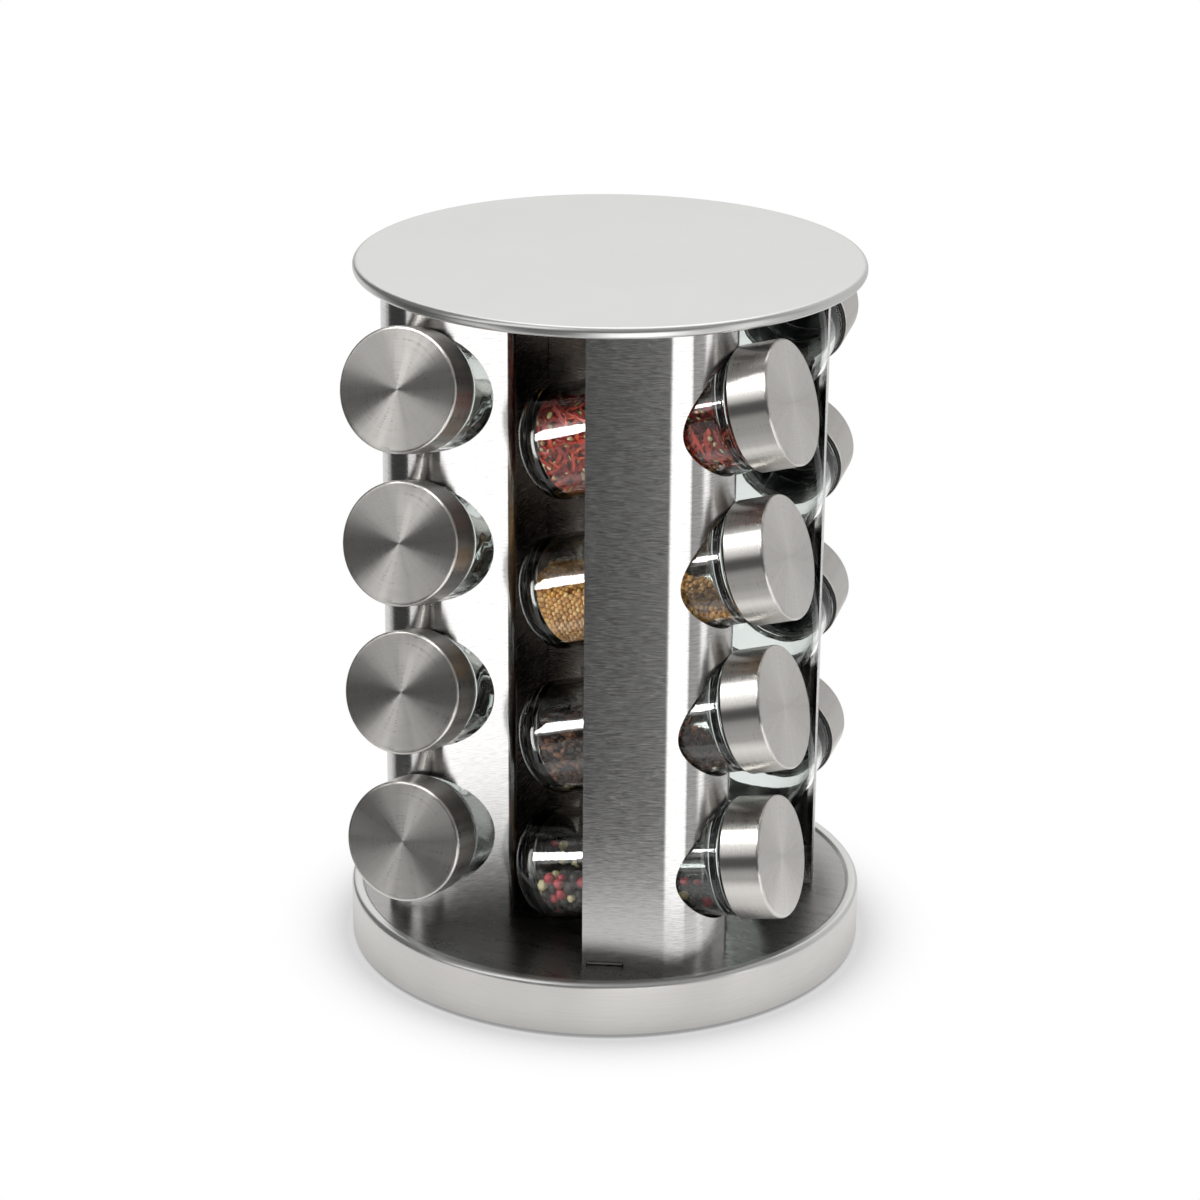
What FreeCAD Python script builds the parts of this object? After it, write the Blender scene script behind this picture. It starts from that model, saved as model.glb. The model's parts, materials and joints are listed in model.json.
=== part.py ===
import FreeCAD, Part
import math
import os
import re
import Sketcher

# Spice carousel: a turntable that carries four bent steel columns under a round top.
# Each column holds four glass jars, which lean cap up in large round holes.
# Frame: millimetres, +Z up along the turning axis, origin on the surface it stands on.
# Column 1 has its jars pointing to +X; columns 2 to 4 are it turned by 90, 180, 270 degrees.

os.makedirs("parts", exist_ok=True)
doc = FreeCAD.newDocument("spice_carousel")
sheet = doc.addObject("Spreadsheet::Sheet", "Sizes")

SIZES = [
    # turntable shell
    ("shell_radius", 100.0), ("shell_bottom", 1.5), ("shell_wall", 0.8), ("deck_top", 21.0),
    ("bead_top", 22.0), ("bead_width", 4.0), ("bead_rounding", 2.0),
    # top disc, with its edge turned down and curled in
    ("disc_radius", 95.7), ("disc_top", 273.0), ("disc_wall", 0.8), ("disc_rim", 4.2),
    ("curl_width", 3.2), ("disc_rounding", 2.0),
    # bent column sheet
    ("column_wall", 0.7), ("arc_x", 44.6), ("arc_y", -47.8), ("arc_radius", 23.0),
    ("flat_angle", 18.0), ("back_angle", 127.0), ("flat_length", 30.0), ("side_y", -17.2),
    ("side_end", -17.0), ("bend_radius", 4.0), ("hole_radius", 22.3),
    # fixing tabs bent out of the sheet, and the welded studs they sit on
    ("tab_width", 13.0), ("tab_reach", 14.0), ("tab_bend", 0.8), ("tab_relief", 0.6),
    ("flat_tab_start", 2.0), ("side_tab_start", 44.0), ("stud_inset", 8.0),
    ("stud_radius", 2.0), ("stud_length", 6.0), ("tab_hole_radius", 2.2),
    ("nut_corner_radius", 4.0), ("nut_height", 3.0), ("nut_bore_radius", 2.1),
    # jar places: hole centres on the column wall, and how far the jars lean
    ("hole_x", 67.5), ("hole_y", -45.5), ("top_row_height", 234.4), ("row_pitch", 58.4),
    ("jar_tilt", 16.8), ("low_jar_tilt", 12.2),
    # caps, measured along the jar's axis from the hole centre
    ("cap_reach", 22.8), ("cap_length", 15.5), ("cap_radius", 23.0), ("cap_wall", 0.6),
    ("cap_rounding", 1.2), ("liner_radius", 22.3), ("liner_bore_radius", 19.0),
    ("liner_top", 1.5), ("liner_lip", 0.8), ("liner_lip_radius", 21.9), ("liner_gap", 0.05),
    # glass
    ("jar_length", 104.0), ("glass_radius", 21.4), ("glass_wall", 2.2), ("heel_radius", 11.0),
    ("inner_heel_radius", 8.0), ("glass_floor", 5.7), ("pushup_depth", 1.5),
    ("pushup_radius", 8.5), ("neck_radius", 17.4), ("neck_bore_radius", 15.0),
    ("mouth_drop", 2.5), ("shoulder_gap", 1.1), ("ring_radius", 21.8), ("ring_width", 1.8),
    ("thread_radius", 18.4), ("thread_width", 1.6),
    # fixed base and swivel bearing
    ("plate_radius", 93.0), ("plate_top", 5.0), ("plate_wall", 1.0), ("plate_rim", 2.2),
    ("plate_bore", 16.0), ("foot_count", 6.0), ("foot_radius", 8.0), ("foot_circle", 80.0),
    ("foot_chamfer", 1.0), ("race_bore", 46.0), ("race_radius", 64.0), ("race_gap", 1.2),
    ("ball_count", 20.0), ("ball_radius", 3.0), ("ball_circle", 55.0), ("groove_gap", 0.05),
]
for row, (alias, number) in enumerate(SIZES, 1):
    sheet.set(f"A{row}", alias)
    sheet.set(f"B{row}", str(number))
    sheet.setAlias(f"B{row}", alias)
doc.recompute()

COLUMN_COUNT = 4
ROW_COUNT = 4


def bound(text):
    """Give every alias in a formula, a word with an underscore, its sheet's name."""
    return re.sub(r"\b[a-z]+(?:_[a-z]+)+\b", lambda match: "Sizes." + match.group(), text)


def value(text):
    """Number that a formula of sheet sizes comes to now."""
    answer = sheet.evalExpression(bound(text))
    return float(getattr(answer, "Value", answer))


def bind(thing, **formulas):
    """Bind properties of an object to formulas of sheet sizes."""
    for name, text in formulas.items():
        thing.setExpression(name, bound(text))


def new_body(label):
    body = doc.addObject("PartDesign::Body", label)
    body.AllowCompound = True
    return body


def origin_item(body, role):
    return next(item for item in body.Origin.OriginFeatures if item.Role == role)


def outline(body, role, corners):
    """Closed sketch on an origin plane. A corner is two formulas, and a radius if it is rounded."""
    sketch = body.newObject("Sketcher::SketchObject", f"{body.Label}_outline")
    sketch.AttachmentSupport = [(origin_item(body, role), "")]
    sketch.MapMode = "FlatFace"
    points = [FreeCAD.Vector(value(corner[0]), value(corner[1]), 0) for corner in corners]
    radii = [value(corner[2]) if len(corner) == 3 else 0.0 for corner in corners]
    count = len(points)
    starts, stops, centres = [], [], []
    for i, point in enumerate(points):
        back = (points[i - 1] - point).normalize()
        ahead = (points[(i + 1) % count] - point).normalize()
        half = back.getAngle(ahead) / 2
        reach = radii[i] / math.tan(half)
        stops.append(point + back * reach)
        starts.append(point + ahead * reach)
        middle = (back + ahead).normalize() if radii[i] else back
        centres.append(point + middle * math.hypot(radii[i], reach))
    for i in range(count):
        sketch.addGeometry(Part.LineSegment(starts[i], stops[(i + 1) % count]), False)
    for i, (point, corner) in enumerate(zip(points, corners)):
        before, place = (i - 1) % count, (i, 1)
        if radii[i]:
            bend, ends = add_arc(sketch, centres[i], stops[i], starts[i])
            sketch.addConstraint(Sketcher.Constraint("Tangent", before, 2, bend, ends[0]))
            sketch.addConstraint(Sketcher.Constraint("Tangent", i, 1, bend, ends[1]))
            radius = sketch.addConstraint(Sketcher.Constraint("Radius", bend, radii[i]))
            sketch.setExpression(f"Constraints[{radius}]", bound(corner[2]))
            place = (sketch.addGeometry(Part.Point(point), True), 1)
            for line in (before, i):
                sketch.addConstraint(Sketcher.Constraint("PointOnObject", *place, line))
        else:
            sketch.addConstraint(Sketcher.Constraint("Coincident", before, 2, i, 1))
        for kind, text in (("DistanceX", corner[0]), ("DistanceY", corner[1])):
            distance = sketch.addConstraint(Sketcher.Constraint(kind, -1, 1, *place, value(text)))
            sketch.setExpression(f"Constraints[{distance}]", bound(text))
    return sketch


def add_arc(sketch, centre, first, last):
    """Short arc between two points. Returns its index and which of its ends is first and last."""
    if (first - centre).cross(last - centre).z < 0:
        index, ends = add_arc(sketch, centre, last, first)
        return index, ends[::-1]
    start, stop = (math.atan2(point.y - centre.y, point.x - centre.x) for point in (first, last))
    circle = Part.Circle(centre, FreeCAD.Vector(0, 0, 1), centre.distanceToPoint(first))
    stop += 2 * math.pi if stop < start else 0
    return sketch.addGeometry(Part.ArcOfCircle(circle, start, stop), False), (1, 2)


def turned(label, corners, axis="V_Axis", role="XZ_Plane"):
    """Body turned from an outline: about Z, or about its own X for axis H_Axis."""
    body = new_body(label)
    sketch = outline(body, role, corners)
    turn = body.newObject("PartDesign::Revolution", f"{label}_turn")
    turn.Profile = sketch
    turn.ReferenceAxis = (sketch, [axis])
    turn.Angle = 360
    return body


def repeat(body, features, formula):
    """Repeat features of a body evenly about its Z axis."""
    pattern = body.newObject("PartDesign::PolarPattern", f"{body.Label}_repeat")
    pattern.Originals = features
    pattern.Axis = (origin_item(body, "Z_Axis"), [""])
    pattern.Angle = 360
    bind(pattern, Occurrences=formula)
    body.Tip = pattern


def primitive(body, kind, name, at, **formulas):
    """Additive or subtractive primitive in a body, moved to a place given by formulas."""
    solid = body.newObject(f"PartDesign::{kind}", name)
    solid.AttachmentSupport = [(origin_item(body, "XY_Plane"), "")]
    solid.MapMode = "FlatFace"
    bind(solid, **formulas)
    for letter, text in zip("xyz", at):
        solid.setExpression(f".AttachmentOffset.Base.{letter}", bound(text))
    return solid


def tab_places():
    """The two tabs of column 1: name, heading of the sheet, and start on its outer face."""
    flat = ("arc_x + arc_radius * sin(flat_angle) - (flat_length - flat_tab_start) * cos(flat_angle)",
            "arc_y - arc_radius * cos(flat_angle) - (flat_length - flat_tab_start) * sin(flat_angle)")
    return [("flat_tab", "flat_angle", flat), ("side_tab", "180", ("side_tab_start", "side_y"))]


def stud_places():
    """Centres of the two studs of column 1."""
    places = []
    for name, heading, (x, y) in tab_places():
        along, inward = "tab_width / 2", "(column_wall + stud_inset)"
        places.append((name, f"{x} + {along} * cos({heading}) - {inward} * sin({heading})",
                       f"{y} + {along} * sin({heading}) + {inward} * cos({heading})"))
    return places


def top_disc():
    """Round top: a flat sheet with its edge turned down and curled in, and studs below."""
    rim, under = "(disc_top - disc_rim)", "(disc_top - disc_wall)"
    body = turned("top_disc", [
        ("0", "disc_top"), ("disc_radius", "disc_top", "disc_rounding"),
        ("disc_radius", rim, "disc_rounding * 0.8"), ("disc_radius - curl_width", rim),
        ("disc_radius - curl_width", f"{rim} + disc_wall"),
        ("disc_radius - disc_wall", f"{rim} + disc_wall", "disc_wall"),
        ("disc_radius - disc_wall", under, "disc_wall"), ("0", under)])
    add_studs(body, f"{under} - stud_length")


def turntable_shell():
    """Round pressed shell that turns: wall, raised edge bead and recessed deck, with studs."""
    inner, low_deck = "(shell_radius - shell_wall)", "(deck_top - shell_wall)"
    bead = "(shell_radius - bead_width)"
    body = turned("turntable_shell", [
        ("0", "deck_top"), (f"{bead} - 1", "deck_top"),
        (bead, "bead_top", "bead_rounding"), ("shell_radius", "bead_top", "bead_rounding"),
        ("shell_radius", "shell_bottom"), (inner, "shell_bottom"),
        (inner, "bead_top - shell_wall", "bead_rounding - shell_wall"),
        (bead, "bead_top - shell_wall"), (f"{bead} - 1", low_deck), ("0", low_deck)])
    add_studs(body, "deck_top")


def add_studs(body, low):
    """Eight welded studs, two for each column, from the height low upwards."""
    studs = [primitive(body, "AdditiveCylinder", f"{body.Label}_{name}_stud", (x, y, low),
                       Radius="stud_radius", Height="stud_length")
             for name, x, y in stud_places()]
    repeat(body, studs, str(COLUMN_COUNT))


def nuts():
    """Hex nuts on the studs: two above the deck and two under the top for each column."""
    body = new_body("nuts")
    levels = [("deck", "deck_top + column_wall"),
              ("top", "disc_top - disc_wall - column_wall - nut_height")]
    places = [(f"{level}_{name}", x, y, low)
              for level, low in levels for name, x, y in stud_places()]
    blanks = []
    for name, x, y, low in places:
        blank = primitive(body, "AdditivePrism", f"{name}_nut", (x, y, low),
                          Circumradius="nut_corner_radius", Height="nut_height")
        blank.Polygon = 6
        blanks.append(blank)
    bores = [primitive(body, "SubtractiveCylinder", f"{name}_bore", (x, y, f"{low} - 1"),
                       Radius="nut_bore_radius", Height="nut_height + 2")
             for name, x, y, low in places]
    repeat(body, blanks + bores, str(COLUMN_COUNT))


def column_panel(number):
    """Bent sheet: flat front, round part with four jar holes, return, and inner side wall."""
    body = new_body(f"column_panel_{number}")
    turn = "((back_angle - flat_angle) / 2)"
    middle = "((back_angle + flat_angle) / 2)"
    faces = []
    for depth in ("0", "column_wall"):
        radius = f"(arc_radius - {depth})"
        flat_x, flat_y = f"arc_x + {radius} * sin(flat_angle)", f"arc_y - {radius} * cos(flat_angle)"
        back_x, back_y = f"arc_x + {radius} * sin(back_angle)", f"arc_y - {radius} * cos(back_angle)"
        side = f"(side_y - {depth})"
        faces.append([
            (f"{flat_x} - flat_length * cos(flat_angle)", f"{flat_y} - flat_length * sin(flat_angle)"),
            (f"arc_x + {radius} / cos({turn}) * sin({middle})",
             f"arc_y - {radius} / cos({turn}) * cos({middle})", radius),
            (f"{back_x} + ({side} - ({back_y})) / tan(back_angle)", side,
             f"bend_radius + column_wall - {depth}"),
            ("side_end", side)])
    sketch = outline(body, "XY_Plane", faces[0] + faces[1][::-1])
    half_height = "((disc_top - disc_wall - deck_top) / 2)"
    sketch.setExpression(".AttachmentOffset.Base.z", bound(f"-{half_height}"))
    pad = body.newObject("PartDesign::Pad", f"{body.Label}_pad")
    pad.Profile = sketch
    bind(pad, Length=f"2 * {half_height}")
    for row in range(ROW_COUNT):
        cut_jar_hole(body, row, half_height)
    for side in (-1, 1):
        for place in tab_places():
            add_tab(body, *place, f"({side} * {half_height})", -side)
    body.Placement.Rotation.Axis = FreeCAD.Vector(0, 0, 1)
    body.setExpression(".Placement.Base.z", bound(f"deck_top + {half_height}"))
    body.setExpression(".Placement.Rotation.Angle", str(90 * (number - 1)))


def tilt_of(row):
    return "low_jar_tilt" if row == ROW_COUNT - 1 else "jar_tilt"


def cut_jar_hole(body, row, half_height):
    """Round hole along the jar's leaning axis."""
    height = f"top_row_height - {row} * row_pitch - deck_top - {half_height}"
    lean, reach = tilt_of(row), "arc_radius"
    hole = primitive(body, "SubtractiveCylinder", f"{body.Label}_hole_{row + 1}",
                     (f"hole_x - {reach} * cos({lean})", "hole_y", f"{height} - {reach} * sin({lean})"),
                     Radius="hole_radius", Height=f"2 * {reach}")
    hole.AttachmentOffset.Rotation.Axis = FreeCAD.Vector(0, 1, 0)
    hole.setExpression(".AttachmentOffset.Rotation.Angle", bound(f"90 - {lean}"))


def add_tab(body, name, heading, start, level, rise):
    """Tab bent inwards at one end of the sheet, in a notch, with a hole for its stud."""
    bend = "(tab_bend + column_wall)"
    x, y = start
    notch = primitive(body, "SubtractiveBox", f"{body.Label}_{name}_notch",
                      (f"{x} - tab_relief * cos({heading}) + sin({heading})",
                       f"{y} - tab_relief * sin({heading}) - cos({heading})", f"{level} - {bend}"),
                      Length="tab_width + 2 * tab_relief", Width="column_wall + 2",
                      Height=f"2 * {bend}")
    notch.AttachmentOffset.Rotation.Axis = FreeCAD.Vector(0, 0, 1)
    notch.setExpression(".AttachmentOffset.Rotation.Angle", bound(heading))
    leg = f"{rise} * ({bend} + 1)"
    sketch = outline(body, "XZ_Plane", [
        ("0", leg), ("0", "0", bend), ("tab_reach", "0"), ("tab_reach", f"{rise} * column_wall"),
        ("column_wall", f"{rise} * column_wall", "tab_bend"), ("column_wall", leg)])
    sketch.AttachmentOffset.Rotation.Axis = FreeCAD.Vector(0, 1, 0)
    sketch.setExpression(".AttachmentOffset.Rotation.Angle", bound(f"{heading} + 90"))
    for letter, text in zip("xyz", (x, level, f"-({y})")):
        sketch.setExpression(f".AttachmentOffset.Base.{letter}", bound(text))
    tab = body.newObject("PartDesign::Pad", f"{body.Label}_{name}")
    tab.Profile = sketch
    bind(tab, Length="tab_width")
    stud_x, stud_y = next((sx, sy) for label, sx, sy in stud_places() if label == name)
    primitive(body, "SubtractiveCylinder", f"{body.Label}_{name}_hole",
              (stud_x, stud_y, f"{level} - 2 * column_wall"),
              Radius="tab_hole_radius", Height="4 * column_wall")


def place_on_jar_axis(body, column, row):
    """Put a part turned about its own X on a jar's axis, its origin in the hole's centre."""
    yaw = 90 * column
    spot = (f"hole_x * cos({yaw}) - hole_y * sin({yaw})",
            f"hole_x * sin({yaw}) + hole_y * cos({yaw})",
            f"top_row_height - {row} * row_pitch")
    text = (f"create(<<placement>>; create(<<vector>>; {'; '.join(spot)}); "
            f"create(<<rotation>>; {yaw}; -{tilt_of(row)}; 0))")
    body.setExpression("Placement", bound(text))


def jar_glass(label):
    """Glass jar: screw neck with one thread bead, shoulder ring, round heel, pushed-up floor."""
    mouth, rear = "(cap_reach - mouth_drop)", "(cap_reach - cap_length - shoulder_gap)"
    bottom, inside = "(cap_reach - jar_length)", "(glass_radius - glass_wall)"
    thread = f"({mouth} - 5)"
    return turned(label, [
        (mouth, "neck_bore_radius"), (mouth, "neck_radius", "0.8"),
        (f"{thread} + thread_width / 2", "neck_radius"), (thread, "thread_radius"),
        (f"{thread} - thread_width / 2", "neck_radius"), (rear, "neck_radius"),
        (rear, "ring_radius", "0.7"), (f"{rear} - ring_width", "ring_radius", "0.5"),
        (f"{rear} - ring_width", "glass_radius"), (bottom, "glass_radius", "heel_radius"),
        (bottom, "pushup_radius"), (f"{bottom} + pushup_depth", "pushup_radius - 2 * pushup_depth"),
        (f"{bottom} + pushup_depth", "0"), (f"{bottom} + glass_floor", "0"),
        (f"{bottom} + glass_floor", inside, "inner_heel_radius"),
        (f"{rear} - glass_wall - 3", inside, "2"), (f"{rear} - glass_wall", "neck_bore_radius", "2")],
        "H_Axis", "XY_Plane")


def jar_cap(label):
    """Spun steel cap: round face and straight side."""
    rear = "(cap_reach - cap_length)"
    return turned(label, [
        ("cap_reach", "0"), ("cap_reach", "cap_radius", "cap_rounding"), (rear, "cap_radius"),
        (rear, "cap_radius - cap_wall"),
        ("cap_reach - cap_wall", "cap_radius - cap_wall", "cap_rounding - cap_wall"),
        ("cap_reach - cap_wall", "0")], "H_Axis", "XY_Plane")


def cap_liner(label):
    """Black moulded insert in the cap, which shows as a thin lip behind the steel."""
    top, rear = "(cap_reach - cap_wall - liner_gap)", "(cap_reach - cap_length)"
    return turned(label, [
        (top, "0"), (top, "liner_radius", "cap_rounding"), (rear, "liner_radius"),
        (f"{rear} - liner_lip", "liner_lip_radius"), (f"{rear} - liner_lip", "liner_bore_radius"),
        (f"{top} - liner_top", "liner_bore_radius"), (f"{top} - liner_top", "0")],
        "H_Axis", "XY_Plane")


def base_plate():
    """Fixed plate under the shell, its edge turned down and its middle open."""
    low = "(plate_top - plate_wall)"
    turned("base_plate", [
        ("plate_bore", low), ("plate_bore", "plate_top"),
        ("plate_radius", "plate_top", "2 * plate_wall"), ("plate_radius", "plate_top - plate_rim"),
        ("plate_radius - plate_wall", "plate_top - plate_rim"),
        ("plate_radius - plate_wall", low, "plate_wall")])


def rubber_feet():
    """Round feet under the base plate."""
    body = new_body("rubber_feet")
    tall = "(plate_top - plate_wall)"
    at = ("foot_circle", "0")
    stem = primitive(body, "AdditiveCylinder", "foot_stem", at + ("foot_chamfer",),
                     Radius="foot_radius", Height=f"{tall} - foot_chamfer")
    sole = primitive(body, "AdditiveCone", "foot_sole", at + ("0",),
                     Radius1="foot_radius - foot_chamfer", Radius2="foot_radius",
                     Height="foot_chamfer")
    repeat(body, [stem, sole], "foot_count")


def race(label, low, high):
    """Bearing ring with a round groove for the balls."""
    body = turned(label, [("race_bore", low), ("race_radius", low),
                          ("race_radius", high), ("race_bore", high)])
    primitive(body, "SubtractiveTorus", f"{label}_groove", ("0", "0", ball_height()),
              Radius1="ball_circle", Radius2="ball_radius + groove_gap")


def ball_height():
    """Height of the ball centres, halfway between the base plate and the deck."""
    return "((plate_top + deck_top - shell_wall) / 2)"


def bearing():
    """Swivel bearing: fixed lower ring, turning upper ring and the balls between them."""
    race("bearing_lower_race", "plate_top", f"{ball_height()} - race_gap / 2")
    race("bearing_upper_race", f"{ball_height()} + race_gap / 2", "deck_top - shell_wall")
    body = new_body("bearing_balls")
    ball = primitive(body, "AdditiveSphere", "ball", ("ball_circle", "0", ball_height()),
                     Radius="ball_radius")
    repeat(body, [ball], "ball_count")


base_plate()
rubber_feet()
bearing()
turntable_shell()
top_disc()
nuts()
for column in range(COLUMN_COUNT):
    column_panel(column + 1)
    for row in range(ROW_COUNT):
        for maker in (jar_glass, jar_cap, cap_liner):
            piece = maker(f"{maker.__name__}_c{column + 1}_r{row + 1}")
            place_on_jar_axis(piece, column, row)
doc.recompute()

for thing in doc.Objects:
    if "Invalid" in thing.State or "Error" in thing.State:
        raise RuntimeError(f"{thing.Label} failed: {thing.State}")
nodes = [thing for thing in doc.Objects if thing.TypeId == "PartDesign::Body"]
for node in nodes:
    if node.Shape.isNull() or not node.Shape.isValid():
        raise RuntimeError(f"{node.Label} has no valid shape")
    node.Shape.exportStep(f"parts/{node.Label}.step")
    box = node.Shape.optimalBoundingBox()
    print(f"{node.Label}: {len(node.Shape.Solids)} solids, {node.Shape.Volume / 1000:.2f} cm3, "
          f"z {box.ZMin:.2f} to {box.ZMax:.2f}")
print(f"{len(nodes)} nodes")
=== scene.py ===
"""Spice carousel: satin and brushed steel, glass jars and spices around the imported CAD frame."""

import json
import math
import random

import bmesh
import bpy
import numpy as np
from mathutils import Euler, Matrix, Vector, noise

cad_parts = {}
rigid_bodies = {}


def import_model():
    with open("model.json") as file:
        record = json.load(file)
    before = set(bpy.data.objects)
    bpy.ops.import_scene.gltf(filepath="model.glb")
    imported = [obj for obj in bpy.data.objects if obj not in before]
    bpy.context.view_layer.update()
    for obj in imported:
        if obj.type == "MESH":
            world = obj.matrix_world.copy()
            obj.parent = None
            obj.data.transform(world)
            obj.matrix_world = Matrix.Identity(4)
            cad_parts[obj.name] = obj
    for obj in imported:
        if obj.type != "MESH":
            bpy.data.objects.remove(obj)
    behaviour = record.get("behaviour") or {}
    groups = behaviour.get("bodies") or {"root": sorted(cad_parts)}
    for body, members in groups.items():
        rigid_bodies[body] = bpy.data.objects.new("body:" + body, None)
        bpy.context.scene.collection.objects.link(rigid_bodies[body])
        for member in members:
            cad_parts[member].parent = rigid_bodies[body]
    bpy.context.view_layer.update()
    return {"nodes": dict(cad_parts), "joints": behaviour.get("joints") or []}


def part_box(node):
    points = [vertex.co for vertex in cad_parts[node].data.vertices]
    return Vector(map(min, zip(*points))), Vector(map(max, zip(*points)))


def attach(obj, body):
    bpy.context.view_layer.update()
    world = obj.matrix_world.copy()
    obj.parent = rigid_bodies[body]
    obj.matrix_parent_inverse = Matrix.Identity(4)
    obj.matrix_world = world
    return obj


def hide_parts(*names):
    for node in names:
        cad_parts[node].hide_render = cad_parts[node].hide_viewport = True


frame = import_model()

MM = 0.001          # lengths below are in millimetres; meshes are made in metres
UP = Vector((0, 0, 1))
COLUMNS = (1, 2, 3, 4)
ROWS = (1, 2, 3, 4)
TAU = 2 * math.pi

# The four sheet columns stand at 90 degree steps, and column 1 is described here.
ARC_CENTRE = Vector((44.6, -47.8))
ARC_RADIUS = 23.0
FLAT_HEADING = math.radians(18.0)
BACK_HEADING = math.radians(127.0)
FLAT_LENGTH = 30.0
SIDE_Y = -17.2
SIDE_END = -17.0
SIDE_BEND = 4.0
SHEET = 0.7
INNER_WALL = 40.0      # the side wall has painted shade, a darker copy of the sheet, up to this x
HOLE_RADIUS = 22.3
DECK = 21.0
CEILING = 272.2
TAB_WIDTH, TAB_REACH, TAB_BEND, TAB_RELIEF = 13.0, 14.0, 0.8, 0.6
STUD_INSET, STUD_RADIUS, STUD_LENGTH = 8.0, 2.0, 6.0
NUT_RADIUS, NUT_HEIGHT, NUT_BORE = 4.0, 3.0, 2.1

# Along a jar's own axis, from the centre of its hole.
CAP_FACE, CAP_REAR, CAP_RADIUS, CAP_WALL, CAP_ROUNDING = 22.8, 7.3, 23.0, 0.6, 1.2
GLASS_MOUTH, GLASS_REAR, GLASS_BOTTOM, GLASS_FLOOR = 20.3, 6.2, -81.2, -75.5
GLASS_RADIUS, INSIDE_RADIUS, NECK_RADIUS, NECK_BORE = 21.4, 19.2, 17.4, 15.0
HEEL, INSIDE_HEEL = 11.0, 8.0
SHOULDER_START, SHOULDER_END = 1.0, 4.0


# ---------------------------------------------------------------- mesh helpers

def rounded(corners, step=math.radians(9), hold=0.15):
    """Closed outline: a corner with a third number gets an arc of that radius."""
    points = []
    count = len(corners)
    for index, corner in enumerate(corners):
        here = Vector(corner[:2])
        if len(corner) == 2:
            points.append(here)
            continue
        before = (Vector(corners[index - 1][:2]) - here).normalized()
        after = (Vector(corners[(index + 1) % count][:2]) - here).normalized()
        half = before.angle(after) / 2
        centre = here + (before + after).normalized() * corner[2] / math.sin(half)
        reach = corner[2] / math.tan(half)
        first, last = here + before * reach - centre, here + after * reach - centre
        start = math.atan2(first.y, first.x)
        turn = (math.atan2(last.y, last.x) - start + math.pi) % TAU - math.pi
        pieces = max(2, math.ceil(abs(turn) / step))
        if hold:
            points.append(here + before * (reach + hold))
        for piece in range(pieces + 1):
            angle = start + turn * piece / pieces
            points.append(centre + corner[2] * Vector((math.cos(angle), math.sin(angle))))
        if hold:
            points.append(here + after * (reach + hold))
    return points


def finished(name, points, faces, material, sharp=math.radians(35)):
    """Object from points in millimetres, smooth except across sharp edges."""
    mesh = bpy.data.meshes.new(name)
    mesh.from_pydata([tuple(MM * value for value in point) for point in points], [], faces)
    return placed(name, mesh, material, sharp)


def placed(name, mesh, material, sharp=math.radians(35)):
    tidy = bmesh.new()
    tidy.from_mesh(mesh)
    bmesh.ops.recalc_face_normals(tidy, faces=tidy.faces)
    tidy.to_mesh(mesh)
    tidy.free()
    mesh.shade_smooth()
    mesh.set_sharp_from_angle(angle=sharp)
    mesh.materials.clear()
    mesh.materials.append(material)
    obj = bpy.data.objects.new(name, mesh)
    bpy.context.scene.collection.objects.link(obj)
    return obj


def revolved(outline, segments, bulge=None):
    """Points and faces of a closed (radius, height) outline turned about Z."""
    points, faces, rings = [], [], []
    for radius, height in outline:
        if radius < 1e-6:
            rings.append([len(points)] * segments)
            points.append((0, 0, height))
            continue
        rings.append(list(range(len(points), len(points) + segments)))
        for segment in range(segments):
            angle = TAU * segment / segments
            reach = radius + (bulge(radius, height, angle) if bulge else 0)
            points.append((reach * math.cos(angle), reach * math.sin(angle), height))
    for ring, after in zip(rings, rings[1:] + rings[:1]):
        for segment in range(segments):
            near = (segment + 1) % segments
            corners = []
            for corner in (ring[segment], ring[near], after[near], after[segment]):
                if corner not in corners:
                    corners.append(corner)
            if len(corners) > 2:
                faces.append(corners)
    return points, faces


def turned(name, outline, material, segments=160, bulge=None):
    return finished(name, *revolved(outline, segments, bulge), material)


def joined(parts):
    """One list of points and faces from several."""
    points, faces = [], []
    for part_points, part_faces in parts:
        faces += [[corner + len(points) for corner in face] for face in part_faces]
        points += [tuple(point) for point in part_points]
    return points, faces


def moved(part, matrix):
    return [matrix @ Vector(point) for point in part[0]], part[1]


def quarter_turn(column):
    return Matrix.Rotation(math.radians(90) * (column - 1), 4, "Z")


def extruded(outline, low, high):
    """Prism with Z sides from a closed outline of (x, y) points."""
    count = len(outline)
    points = [(x, y, low) for x, y in outline] + [(x, y, high) for x, y in outline]
    faces = [(i, (i + 1) % count, (i + 1) % count + count, i + count) for i in range(count)]
    return points, faces + [tuple(range(count))[::-1], tuple(range(count, 2 * count))]


def set_parts(obj, material, test):
    """Give the faces that pass the test a second material."""
    obj.data.materials.append(material)
    for face in obj.data.polygons:
        if test(face):
            face.material_index = len(obj.data.materials) - 1


# ---------------------------------------------------------------- materials

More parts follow.
